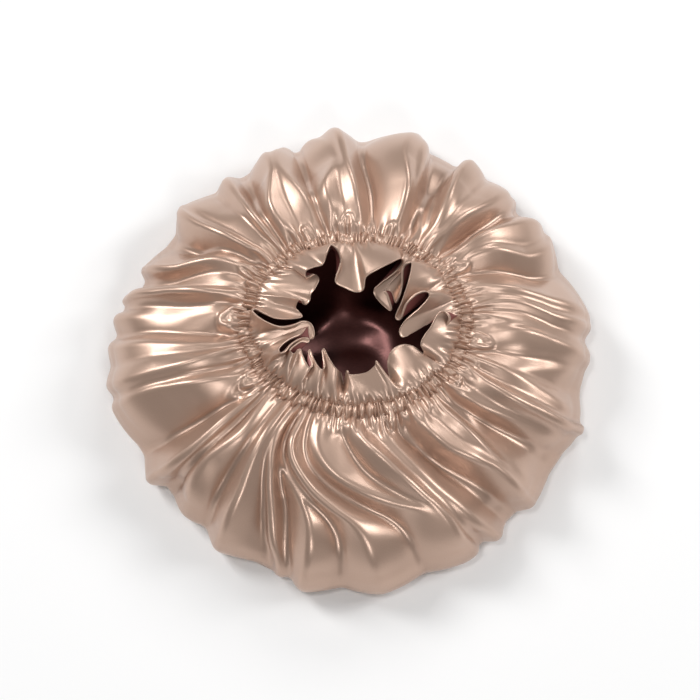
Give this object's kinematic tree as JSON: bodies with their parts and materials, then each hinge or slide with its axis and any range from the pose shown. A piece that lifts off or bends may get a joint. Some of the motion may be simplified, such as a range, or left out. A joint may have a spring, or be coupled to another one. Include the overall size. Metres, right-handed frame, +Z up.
{
  "type": "sleep bonnet",
  "caption": "Double-layer satin sleep bonnet lying crown down, with a gathered elastic opening and a frill of folds around it.",
  "frame": {"origin": "middle of the bonnet's box on the surface that its crown lies on", "axes": "+Z up out of the opening, +X to the right and +Y away in the usual view from above the front"},
  "size_m": [0.3596, 0.3676, 0.0931],
  "materials": {
    "champagne_satin": "glossy champagne polyester satin",
    "gathered_satin": "champagne satin, finely crinkled on its elastic",
    "brown_satin": "glossy dark chocolate-brown polyester satin"
  },
  "bodies": {
    "root": {"crown": "champagne_satin", "gathered_panel": "champagne_satin", "lining": "brown_satin", "elastic_casing": "gathered_satin", "frill_outer": "champagne_satin", "frill_lining": "brown_satin"}
  },
  "joints": []
}
